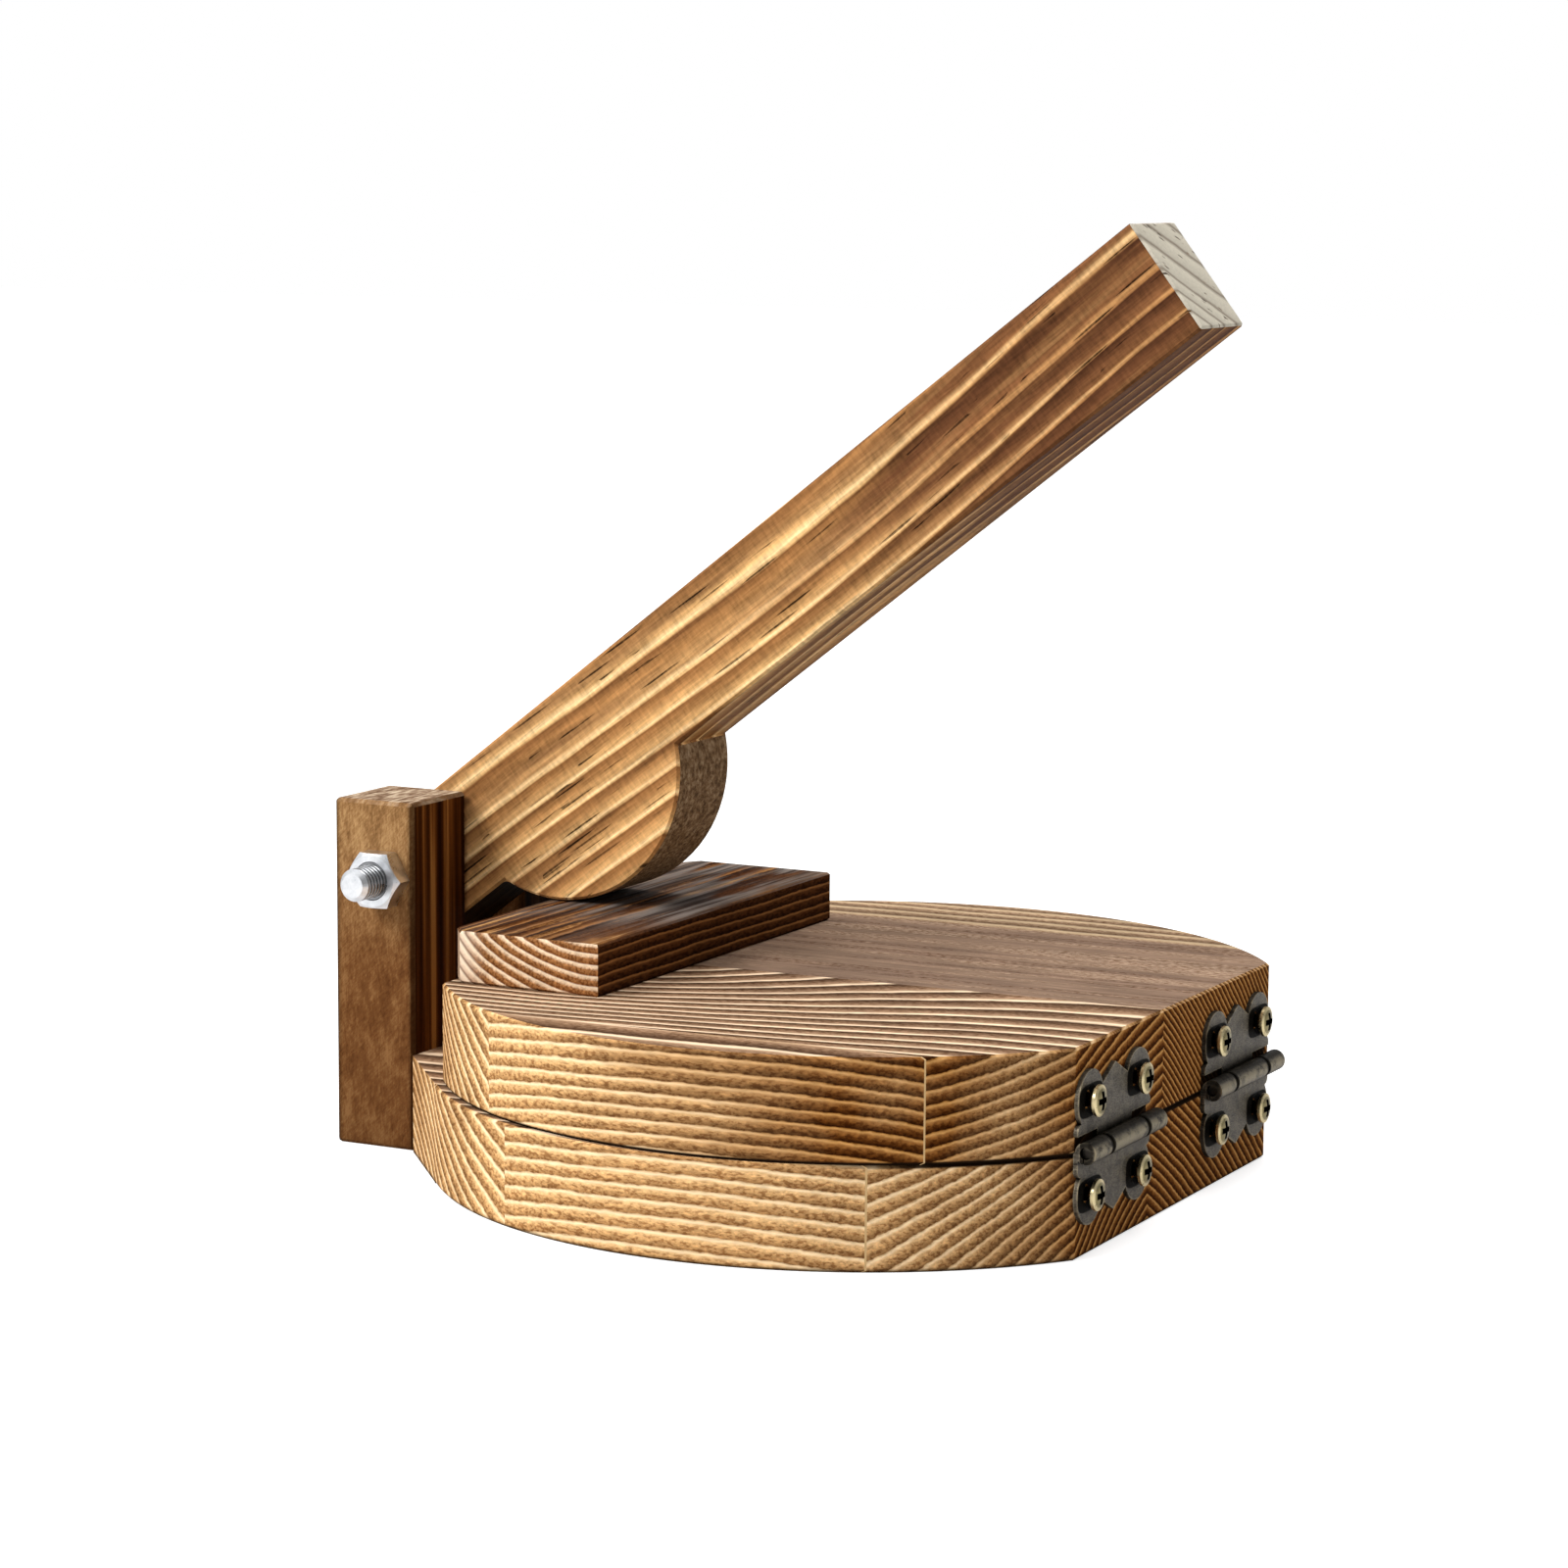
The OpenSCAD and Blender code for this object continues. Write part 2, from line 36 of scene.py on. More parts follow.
class Signal:
    """A socket of a material's nodes. Sums and products of signals add the Math nodes for them."""

    def __init__(self, socket):
        self.socket = socket

    def add(self, kind, settings, inputs, output=0):
        """Adds a node of this kind: first its settings, then the values or links of its sockets."""
        node = self.socket.id_data.nodes.new("ShaderNode" + kind)
        for name, setting in settings.items():
            if name == "stops":
                set_stops(node.color_ramp, setting)
            else:
                setattr(node, name, setting)
        for name, given in inputs.items():
            if isinstance(given, Signal):
                self.socket.id_data.links.new(given.socket, node.inputs[name])
            else:
                node.inputs[name].default_value = given
        return Signal(node.outputs[output])

    def math(self, operation, *others):
        return self.add("Math", {"operation": operation}, dict(enumerate((self, *others))))

    def __add__(self, other):
        return self.math("ADD", other)

    def __sub__(self, other):
        return self.math("SUBTRACT", other)

    def __rsub__(self, other):
        return (self * -1) + other

    def __mul__(self, other):
        return self.math("MULTIPLY", other)

    def __truediv__(self, other):
        return self.math("DIVIDE", other)

    def __pow__(self, power):
        return self.math("POWER", power)

    def __abs__(self):
        return self.math("ABSOLUTE")

    def __lt__(self, other):
        return self.math("LESS_THAN", other)

    def __gt__(self, other):
        return self.math("GREATER_THAN", other)

    __radd__ = __add__
    __rmul__ = __mul__

    def clipped(self):
        return self.math("MINIMUM", 1.0).math("MAXIMUM", 0.0)

    def rise(self, start, end):
        """Climbs smoothly from 0 at start to 1 at end."""
        ends = {"Value": self, "From Min": start, "From Max": end}
        return self.add("MapRange", {"interpolation_type": "SMOOTHSTEP"}, ends)

    def split(self):
        return [self.add("SeparateXYZ", {}, {"Vector": self}, axis) for axis in range(3)]

    def ramp(self, stops):
        return self.add("ValToRGB", {"stops": stops}, {"Fac": self})

    def blend(self, low, high, mode="MIX"):
        """Mixes two colours, with this signal as the share of the second one."""
        return self.add("Mix", {"data_type": "RGBA", "blend_type": mode}, {0: self, 6: low, 7: high}, 2)


def set_stops(ramp, stops):
    while len(ramp.elements) < len(stops):
        ramp.elements.new(1.0)
    for element, (place, color) in zip(ramp.elements, stops):
        element.position = place
        element.color = (*color, 1.0)


def noise(along, across, up, detail=2.0, roughness=0.5):
    """Noise from 0 to 1, whose three coordinates are scaled by the caller to its grain."""
    place = along.add("CombineXYZ", {}, {"X": along, "Y": across, "Z": up})
    sockets = {"Vector": place, "Scale": 1.0, "Detail": detail, "Roughness": roughness}
    return along.add("TexNoise", {}, sockets)


def start_material(name):
    """New material, with the point on the piece in millimetres and the surface's normal, as signals."""
    material = bpy.data.materials.new(name)
    material.use_nodes = True
    material.node_tree.nodes.clear()
    coordinates = material.node_tree.nodes.new("ShaderNodeTexCoord")
    point = Signal(coordinates.outputs["Object"])
    point = point.add("VectorMath", {"operation": "SCALE"}, {"Vector": point, "Scale": 1000.0})
    return material, point.split(), Signal(coordinates.outputs["Normal"]).split()


def finish_material(material, color, roughness, height, bump_depth, others):
    """Joins colour, roughness, a height map and the other sockets given by name to one surface.

    bump_depth is the full height of the height map, in millimetres."""
    tree = material.node_tree
    bump = color.add("Bump", {}, {"Height": height, "Strength": 1.0, "Distance": bump_depth / 1000})
    sockets = {"Base Color": color, "Roughness": roughness, "Normal": bump} | others
    surface = color.add("BsdfPrincipled", {}, sockets)
    output = tree.nodes.new("ShaderNodeOutputMaterial")
    tree.links.new(surface.socket, output.inputs["Surface"])
    return material


def dress(piece, material):
    """Puts the material in all of a piece's slots."""
    for slot in piece.material_slots:
        slot.material = material


def shaded(color, shade):
    """Darkens or lightens a colour by a factor."""
    gray = shade.add("CombineColor", {}, {"Red": shade, "Green": shade, "Blue": shade})
    return color.add("Mix", {"data_type": "RGBA", "blend_type": "MULTIPLY"}, {0: 1.0, 6: color, 7: gray}, 2)


# Colours across one growth ring, from the hard bright line inwards to the soft wood that chars first:
# on the boards' rims before and after burning, and on their upper faces
pale_ring = [
    (0.0, (0.66, 0.45, 0.24)), (0.12, (1.0, 0.75, 0.46)), (0.28, (0.83, 0.53, 0.25)),
    (0.55, (0.65, 0.375, 0.155)), (0.94, (0.35, 0.18, 0.068)), (1.0, (0.66, 0.45, 0.24)),
]
deep_ring = [
    (0.0, (0.32, 0.13, 0.024)), (0.12, (0.54, 0.25, 0.055)), (0.27, (0.27, 0.095, 0.014)),
    (0.6, (0.11, 0.033, 0.005)), (0.94, (0.028, 0.008, 0.002)), (1.0, (0.32, 0.13, 0.024)),
]
top_ring = [
    (0.0, (0.56, 0.40, 0.26)), (0.11, (1.0, 0.76, 0.53)), (0.25, (0.40, 0.25, 0.15)),
    (0.6, (0.21, 0.12, 0.068)), (0.94, (0.062, 0.032, 0.018)), (1.0, (0.56, 0.40, 0.26)),
]
pore_brown = (0.35, 0.22, 0.14, 1)
near_black = (0.012, 0.006, 0.003, 1)
brushed_depth = 0.1
oiled_wood = {"Specular IOR Level": 0.01}


def torched_pine(material, grain, rings, char, pale, deep, face, face_ring, keep=0.9):
    """Pine whose growth rings are counted by rings, burnt by char from 0 to 1.

    grain holds the point's three coordinates, first along the grain, in millimetres. Where face is 1
    the colours are those of face_ring. keep is the share of the burning that reaches the hard
    bright lines."""
    along, across, up = grain
    wander = noise(along / 50, across / 24, up / 24) - 0.5
    waver = noise(along / 14, across / 3, up / 3) - 0.5
    fray = noise(along / 2.5, across / 0.9, up / 0.9) - 0.5
    ring = (rings + wander * 0.9 + waver * 0.16 + fray * (1 - face) * 0.22).math("FRACT")
    fibre = noise(along / 7, across * 1.6, up * 1.6, 3.0, 0.6)
    speckle = noise(along / 1.3, across * 2.0, up * 2.0, 2.0, 0.6)
    patch = noise(along / 22, across / 9, up / 9, 3.0)
    char = char + (patch - 0.5) * 0.8
    keep = keep * char.rise(0.1, 0.7)
    burn = char.clipped() * (ring.rise(0.1, 0.8) * (1 - keep) + keep)
    color = face.blend(burn.blend(ring.ramp(pale), ring.ramp(deep)), ring.ramp(face_ring))
    soft = ring.rise(0.12, 0.5)
    pit = speckle.rise(0.46, 0.62) * soft
    glint = speckle.rise(0.44, 0.3) * soft
    color = (pit * 0.7).blend(color, pore_brown, "MULTIPLY")
    face_patches = (0.5 - patch) * face * 0.8 + 1
    color = shaded(color, (glint * 0.35 + 1) * (fibre * 0.9 + 0.6) * face_patches)
    roughness = soft * 0.1 + fibre * 0.2 + 0.6
    height = (1 - soft) * 0.45 - pit * 0.3 + fibre * 0.35
    return finish_material(material, color, roughness, height, brushed_depth, oiled_wood)


def overlay(material, mask, color):
    """Lays one more colour over a finished material where the mask is 1."""
    surface = material.node_tree.nodes["Principled BSDF"].inputs["Base Color"]
    covered = mask.blend(Signal(surface.links[0].from_socket), color)
    material.node_tree.links.new(covered.socket, surface)


def box_mm(name):
    """Lowest and highest corner of a node's box, in millimetres."""
    return [corner * 1000 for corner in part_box(name)]


seam_z = box_mm("top_stave_2")[0].z
pin_x, pin_z = (joints["top_board_hinge"]["pos_m"][axis] * 1000 for axis in (0, 2))
seam_shade_reach = 0.75
lowest_edge_reach = 0.9
knuckle_shade_reach = 3.6
glue_width = 0.16
glue_color = (0.64, 0.43, 0.21, 1)


def blacken_edges(material, along, z, normal):
    """Painted shade in the groove of the rounded edges at the seam between the two boards, and black along
    the lowest edge.

    The top board's edge is shaded black all round, and the base board's only towards the hinges."""
    above_seam = z - seam_z
    shaded_side = (above_seam.rise(-0.01, 0.01) + along.rise(15, 45)).clipped()
    rounded_edge = 1 - abs(normal[2]).rise(0.9, 0.99)
    near_seam = abs(above_seam).rise(seam_shade_reach, seam_shade_reach - 0.4)
    # Painted shade, nearly black, in the seam's groove
    seam = near_seam * shaded_side * rounded_edge
    lowest_edge = z.rise(lowest_edge_reach, lowest_edge_reach - 0.7) * 0.8 * (normal[2] > -0.9)
    overlay(material, (seam + lowest_edge).clipped(), near_black)


def shade_behind_knuckles(material, y, z, normal):
    """Painted shade, nearly black, on the flat behind each hinge's knuckles."""
    for hinge in ("front_hinge", "rear_hinge"):
        low, high = box_mm(f"{hinge}_upper_leaf")
        behind_leaf = abs(y - (low.y + high.y) / 2) < (high.y - low.y) / 2
        band = abs(z - pin_z).rise(knuckle_shade_reach, knuckle_shade_reach - 0.8) * behind_leaf
        overlay(material, band * (normal[0] > 0.9) * 0.92, near_black)


stave_skew = radians(1.7)
swing_start, swing_end, swing_share = -40, 62, 0.91


def stave_grain(point):
    """Turns the point to the staves' direction: along them, across them, and up."""
    x, y, z = point
    return [
        x * cos(stave_skew) + y * sin(stave_skew),
        y * cos(stave_skew) - x * sin(stave_skew),
        z,
    ]


def rings_from_pith(grain, height, post_end, hinge_end):
    """Counts rings inwards from the one that passes through the anchor.

    Each end of the stave gives the pith's place (across, up), the anchor's place across the stave
    at the given height, and the ring's width. Along the stave they swing from the post end's values
    by swing_share of the way to the hinge end's."""
    along, across, up = grain
    share = along.rise(swing_start, swing_end) * swing_share
    pith_y, pith_z, anchor, width = (
        share * (far - near) + near for near, far in zip(post_end, hinge_end)
    )
    radius = ((across - pith_y) ** 2 + (up - pith_z) ** 2) ** 0.5
    anchor_radius = ((anchor - pith_y) ** 2 + (height - pith_z) ** 2) ** 0.5
    return (anchor_radius - radius) / width


def dress_stave(name, board_top, ends, front_joint, scorch, face_ring, streaked=False):
    """Dresses one stave of a board.

    board_top is the height of the board's upper face, and ends are the rings at the stave's post end
    and hinge end. front_joint is the place across of the glue joint behind the first stave. scorch
    gives the burning from the place along the stave and from the mask of the hinges' flat. Where a
    stave is streaked, its upper face shows fine streaks in place of rings."""
    material, point, normal = start_material(name)
    grain = stave_grain(point)
    along, across, up = grain
    rings = rings_from_pith(grain, board_top, *ends)
    hinge_flat = normal[0].rise(0.7, 0.95)
    upper_face = normal[2].rise(0.7, 0.95)
    if streaked:
        streaks = noise(along / 160, across / 5, up / 5, 4.0, 0.6)
        rings = (upper_face < 0.5) * rings + upper_face * streaks * 2.5
    behind_joint = across.rise(front_joint - 0.2, front_joint + 0.2) * along.rise(-25, -48)
    char = scorch(along, hinge_flat) + behind_joint * 0.25
    pine = torched_pine(material, grain, rings, char, pale_ring, deep_ring, upper_face, face_ring)
    blacken_edges(pine, along, up, normal)
    shade_behind_knuckles(pine, point[1], up, normal)
    if name.endswith("stave_1"):
        overlay(pine, (across > front_joint - glue_width) * (along > 0), glue_color)
    dress(nodes[name], pine)


def base_scorch(along, hinge_flat):
    """Burnt a little towards the posts and more towards the hinges, most on the hinges' flat."""
    return along.rise(-35, -70) * 0.25 + along.rise(0, 80) * 0.72 + hinge_flat * 0.67


base_top = box_mm("base_stave_2")[1].z
base_front_joint = -68

# One row per stave: the pith's place, the anchor and the ring width at the post end and at the hinge end
base_staves = {
    "base_stave_1": ((-95, -80, -70, 2.4), (-95, -80, -70, 2.4)),
    "base_stave_2": ((5, -60, -46, 2.5), (10, -53, -38, 1.75)),
    "base_stave_3": ((-101, -149, 20, 1.7), (-101, -149, 20, 1.65)),
    "base_stave_4": ((30, -50, 60, 2.0), (34, -55, 60, 2.2)),
}
for name, ends in base_staves.items():
    dress_stave(name, base_top, ends, base_front_joint, base_scorch, top_ring)

# Top board: glued up like the base board from four staves and sawn 17 mm shorter, so that its flat
# clears the posts. Its upper face is scorched harder than its rim.

plain_ring = [
    (0.0, (0.20, 0.127, 0.088)), (0.3, (0.27, 0.178, 0.12)), (0.5, (0.35, 0.24, 0.165)),
    (0.8, (0.26, 0.17, 0.115)), (1.0, (0.20, 0.127, 0.088)),
]
soft_ring = [
    (0.0, (0.36, 0.25, 0.15)), (0.2, (0.60, 0.44, 0.27)), (0.5, (0.36, 0.235, 0.145)),
    (0.9, (0.18, 0.112, 0.066)), (1.0, (0.36, 0.25, 0.15)),
]
face_rings = {"top_stave_3": plain_ring, "top_stave_4": soft_ring}
top_height = box_mm("top_stave_2")[1].z
top_front_joint = -63.4
top_staves = {
    "top_stave_1": ((-99, -69, -70, 2.3), (-99, -69, -70, 2.3)),
    "top_stave_2": ((6.5, -29, -48.5, 2.2), (45, -190, -23.2, 2.2)),
    "top_stave_3": ((-114, -111, 20, 1.2), (-114, -111, 20, 1.2)),
    "top_stave_4": ((20, -60, 61, 2.1), (20, -60, 61, 2.1)),
}


def top_scorch(along, hinge_flat):
    """Burnt like the base board but harder, and a little less again just before the hinges' flat."""
    burning = along.rise(-35, -70) * 0.4 + along.rise(-45, 42)
    return burning - along.rise(42, 55) * 0.35 + hinge_flat * 0.6


for name, ends in top_staves.items():
    streaked = name == "top_stave_3"
    face_ring = face_rings.get(name, top_ring)
    dress_stave(name, top_height, ends, top_front_joint, top_scorch, face_ring, streaked)

# Pressure block: a thin pine batten across the post end of the top board, nailed or glued from below
# with its grain across the press. The cam bears on it. Its top is burnt nearly black, with soot and a
# painted gray sheen in streaks, and its sawn ends stay pale.

material, (x, y, z), normal = start_material("pressure_block")
block_pith_x, block_pith_z = -28, 74
block_ring_width = 1.9
steep_from, steepness = -52, 0.048
corner_from = -50
radius = ((x - block_pith_x) ** 2 + (z - block_pith_z) ** 2) ** 0.5
radius = radius + (steep_from - x).math("MAXIMUM", 0.0) ** 2 * steepness
rings = radius / block_ring_width
sawn_end = abs(normal[1]).rise(0.5, 0.8)
upper_face = normal[2].rise(0.5, 0.9)
streak = noise(x / 2.2, y / 50, z / 2.2, 3.0)
char = 1.2 - upper_face * streak.rise(0.52, 0.6) * 0.7
black_ring = [
    (0.0, (0.22, 0.09, 0.026)), (0.1, (0.26, 0.11, 0.034)), (0.24, (0.09, 0.029, 0.008)),
    (0.6, (0.055, 0.018, 0.005)), (0.94, (0.024, 0.008, 0.003)), (1.0, (0.22, 0.09, 0.026)),
]
amber_ring = [
    (0.0, (0.50, 0.26, 0.09)), (0.12, (0.62, 0.36, 0.14)), (0.5, (0.40, 0.19, 0.065)),
    (0.94, (0.25, 0.11, 0.035)), (1.0, (0.50, 0.26, 0.09)),
]
cream_ring = [
    (0.0, (0.40, 0.22, 0.13)), (0.08, (0.92, 0.74, 0.54)), (0.3, (0.86, 0.62, 0.40)),
    (0.5, (0.40, 0.18, 0.065)), (0.94, (0.22, 0.085, 0.025)), (1.0, (0.40, 0.22, 0.13)),
]
pale_corner = [
    (0.0, (0.95, 0.79, 0.60)), (0.6, (0.90, 0.70, 0.52)), (0.86, (0.24, 0.14, 0.10)),
    (1.0, (0.95, 0.79, 0.60)),
]
sheen_gray = (0.25, 0.215, 0.19, 1)
soot_dark = (0.03, 0.023, 0.02, 1)
grain = [y, x, z]
block = torched_pine(material, grain, rings, char, amber_ring, black_ring, sawn_end, cream_ring, 0.95)
corner = sawn_end * x.rise(corner_from, corner_from - 6)
overlay(block, corner * 0.85, rings.math("FRACT").ramp(pale_corner))
# Soot on the top, streaked with a painted gray sheen
soot_and_sheen = noise(x / 4, y / 30, z, 3.0).rise(0.35, 0.55) * (y.rise(-32, -8) * 0.65 + 0.15) * upper_face
sheen_streak = noise(x / 1.7, y / 40, z, 3.0, 0.6).rise(0.35, 0.65)
overlay(block, soot_and_sheen, sheen_streak.blend(soot_dark, sheen_gray))
dress(nodes["pressure_block"], block)

# Posts: two upright pine sticks, screwed to the base board's flat on either side of the lever. Their
# grain runs upwards. Two faces are plain brown, the two across the press striped and nearly black,
# and the sawn tops pale. Low down, the rear post's side towards the boards is painted near black:
# painted shade under the lever.

brown_wood = [(0.39, (0.12, 0.043, 0.013)), (0.5, (0.20, 0.081, 0.026)), (0.61, (0.32, 0.155, 0.057))]
yellow_wood = [(0.39, (0.15, 0.07, 0.025)), (0.5, (0.29, 0.15, 0.058)), (0.61, (0.47, 0.275, 0.118))]
striped_wood = [
    (0.34, (0.016, 0.004, 0.001)), (0.46, (0.045, 0.012, 0.002)), (0.55, (0.13, 0.042, 0.008)),
    (0.64, (0.30, 0.13, 0.032)),
]
sawn_wood = [(0.38, (0.12, 0.06, 0.03)), (0.5, (0.29, 0.19, 0.12)), (0.66, (0.60, 0.47, 0.33))]
sunned_height = 32
edge_width = 1.6
lever_shade_top = 54
sawn_depth = 0.08
for name in ("front_post", "rear_post"):
    material, (x, y, z), normal = start_material(name)
    low, high = box_mm(name)
    mottle = noise(z / 9, x / 4, y / 4, 5.0, 0.7)
    saw_mark = noise((x + z) * 0.5, (x - z) * 2.4, y, 2.0, 0.6)
    pores = noise(x * 2.6, y * 2.6, z * 0.7, 3.0, 0.7)
    tone = mottle * 0.5 + saw_mark * 0.2 + pores * 0.3
    brown = shaded(tone.ramp(brown_wood), z.rise(-40, 40) * 0.3 + 0.5)
    plain = z.rise(high.z - sunned_height, high.z - 4).blend(brown, tone.ramp(yellow_wood))
    edge = (x - low.x).rise(edge_width, 0.2) + (high.x - x).rise(edge_width, 0.2)
    plain = shaded(plain, 1 - edge * 0.65)
    striped = noise(z / 150, x / 8, y / 3.1, 3.0, 0.55).ramp(striped_wood)
    # Painted shade under the lever, on the rear post's side towards the boards
    if name == "rear_post":
        under_lever_shade = z.rise(lever_shade_top, lever_shade_top - 8) * (normal[0] > 0)
        striped = shaded(striped, 1 - under_lever_shade * 0.9)
    sawn = noise(x / 1.2, y / 5, z / 5, 3.0, 0.6).ramp(sawn_wood)
    color = abs(normal[0]).rise(0.6, 0.9).blend(plain, striped)
    color = normal[2].rise(0.6, 0.9).blend(color, sawn)
    relief = mottle * 0.5 + saw_mark * 0.5
    dress(nodes[name], finish_material(material, color, mottle * 0.2 + 0.5, relief, sawn_depth, oiled_wood))

# Post screws: two cross-head wood screws of zinc-plated steel hold each post. They are countersunk in
# its back and go through it into the base board.

dull_zinc = (0.66, 0.68, 0.71, 1)
bright_zinc = (0.93, 0.94, 0.96, 1)
groove_depth = 0.35


def zinc_plate(name, groove=None):
    """Bright zinc plate, dulled in patches.

    groove takes the point and the normal, and gives the depth of a cut from 0 to 1."""
    material, point, normal = start_material(name)
    x, y, z = point
    patch = noise(x / 3, y / 3, z / 3, 4.0, 0.6)
    color = patch.rise(0.3, 0.75).blend(dull_zinc, bright_zinc)
    height = noise(x * 5, y * 5, z * 5) * 0.03
    if groove:
        cut = groove(point, normal)
        # Cuts are darkened: painted shade in the thread's roots and in the nut's chamfer
        color = shaded(color, 1 - cut * 0.9)
        height = height - cut
    return finish_material(material, color, patch * 0.2 + 0.2, height, groove_depth, {"Metallic": 1.0})


zinc = zinc_plate("zinc_screws")
for name in ("front_post_screws", "rear_post_screws"):
    dress(nodes[name], zinc)

# Lever: one pine board, 195 mm long, sawn with the cam in one piece and bored for the pivot bolt. The
# wide side shows long golden rings with resin ducts, and the sawn end is left bare.

pivot = Vector(joints["lever_pivot"]["pos_m"]) * 1000
lever_angle = radians(37.58)
mid_line_rise = 0.6
lever_front = box_mm("lever")[0].y
lower_ring_width, upper_ring_width = 4.3, 6.9
ring_slope = 0.75
cam_top = -11.3
bare_from = 181.6
black_until = 15
lever_sawn_depth = 0.12
golden_ring = [
    (0.0, (0.76, 0.46, 0.19)), (0.08, (0.98, 0.69, 0.35)), (0.22, (0.66, 0.38, 0.15)),
    (0.6, (0.40, 0.195, 0.068)), (0.94, (0.27, 0.115, 0.038)), (1.0, (0.76, 0.46, 0.19)),
]
brown_ring = [
    (0.0, (0.36, 0.165, 0.06)), (0.08, (0.47, 0.24, 0.09)), (0.18, (0.21, 0.088, 0.034)),
    (0.6, (0.13, 0.051, 0.021)), (0.94, (0.07, 0.026, 0.012)), (1.0, (0.36, 0.165, 0.06)),
]
bare_ring = [
    (0.0, (0.27, 0.22, 0.17)), (0.14, (0.58, 0.53, 0.43)), (0.8, (0.70, 0.64, 0.52)),
    (1.0, (0.27, 0.22, 0.17)),
]
rough_wood = [(0.35, (0.09, 0.05, 0.022)), (0.5, (0.24, 0.145, 0.07)), (0.65, (0.46, 0.33, 0.20))]
underside_gray = (0.42, 0.42, 0.38, 1)

material, (x, y, z), normal = start_material("lever")
along = (x - pivot.x) * cos(lever_angle) + (z - pivot.z) * sin(lever_angle)
height = (z - pivot.z) * cos(lever_angle) - (x - pivot.x) * sin(lever_angle) - mid_line_rise
bend = along.rise(0, 95) * -3.0 + along.rise(95, 185) * 3.8 + 0.7
level = height + (y - lever_front) * ring_slope - bend
rings = level.math("MINIMUM", 0.0) / lower_ring_width + level.math("MAXIMUM", 0.0) / upper_ring_width
ring = (rings + (noise(along / 30, y / 8, height / 5) - 0.5) * 0.22).math("FRACT")

band = noise(along / 75, y / 8, level / 3, 3.0, 0.55)
char = along.rise(70, 165) * 0.95 + (band - 0.46) * 2.8
color = char.clipped().blend(ring.ramp(golden_ring), ring.ramp(brown_ring))
fibre = noise(along / 8, y * 2.0, height * 2.0, 4.0, 0.7)
saw_mark = noise(along * 1.4, y / 2, height / 3, 3.0, 0.6)
cells = along.add("CombineXYZ", {}, {"X": along / 23, "Y": level / 0.9, "Z": y / 3})
duct = along.add("TexVoronoi", {}, {"Vector": cells, "Scale": 1.0, "Randomness": 1.0}, "Distance")
duct = duct.rise(0.25, 0.15) * (noise(along / 20, y / 5, height / 4) > 0.48)
sunned = noise(along / 28, y / 6, level / 2.2, 3.0)
# The height term lightens the cam's lower part: painted light against the shade it lies in
shade = 1.1 + height.rise(-9, -26) * 0.25 + (sunned - 0.5) * 1.3
shade = shade + (fibre - 0.5) * 1.5 + (saw_mark - 0.5) - duct * 0.8

# The underside is darkened to gray, most at its front edge, and black between the posts
underside = (normal[0] * sin(lever_angle) - normal[2] * cos(lever_angle)).rise(0.6, 0.9)
between_posts = underside * along.rise(black_until, black_until - 3)
color = shaded(color, shade.math("MAXIMUM", 0.1) * (1 - between_posts * 0.97))
front_edge = (y - lever_front).rise(0.15, 1.95)
color = (underside * (1 - front_edge * 0.55)).blend(color, underside_gray, "MULTIPLY")

# The cam's sawn edge is left rough, and the lever's end bare
rough_edge = (height < cam_top) * (abs(normal[1]) < 0.5)
color = rough_edge.blend(color, noise(along * 1.2, y * 0.8, height / 5, 4.0, 0.7).ramp(rough_wood))
bare_end = (along > bare_from) * (1 - duct)
color = bare_end.blend(color, shaded(ring.ramp(bare_ring), fibre * 0.5 + 0.75))
relief = fibre * 0.4 + saw_mark * 0.2 - duct * 0.8
roughness = (fibre - 0.5) * 0.2 + 0.5
dress(nodes["lever"], finish_material(material, color, roughness, relief, lever_sawn_depth, oiled_wood))

# Pivot: an M6 hexagon bolt through both posts and the lever, with its head on the rear post. The
# nut on the front post leaves a few turns of thread showing. Both are bright zinc.

bolt_r = 3
thread_pitch = 1
nut_face = box_mm("pivot_nut")[0].y


def thread(point, normal):
    """Depth of the bolt's thread, from 0 on its crest to 1 in its root, on the end outside the nut."""
    x, y, z = point
    turn = (z - pivot.z).math("ARCTAN2", x - pivot.x) / (2 * pi)
    flank = abs((y / thread_pitch + turn).math("FRACT") - 0.5) * 2
    return flank * (y < nut_face) * (abs(normal[1]) < 0.3)


def countersink(point, normal):
    """The ring that is chamfered off round the nut's thread."""
    x, _, z = point
    radius = ((x - pivot.x) ** 2 + (z - pivot.z) ** 2) ** 0.5
    return radius.rise(bolt_r + 0.6, bolt_r + 0.4) * (normal[1] < -0.9) * 0.7


dress(nodes["pivot_bolt"], zinc_plate("zinc_bolt", thread))
dress(nodes["pivot_nut"], zinc_plate("zinc_nut", countersink))

# Hinges: two pressed butterfly hinges of antique bronze, with the lower leaf on the base board and
# the upper leaf on the top board. The knuckles roll round a loose pin, and rubbing bares their brass,
# with a painted highlight along their outside.

knuckle_r = 1.9
knuckle_joint = 7.7
screw_shadow_half_width, screw_shadow_half_height = 4.9, 2.8
patina_bronze = (0.04, 0.034, 0.026, 1)
brown_bronze = (0.18, 0.155, 0.12, 1)
bare_brass = (0.50, 0.42, 0.27, 1)
pin_patina = (0.035, 0.03, 0.024, 1)
pin_highlight = (0.26, 0.23, 0.18, 1)
worn_edge_r = 0.5
corner_reach = 3
grit_depth = 0.03


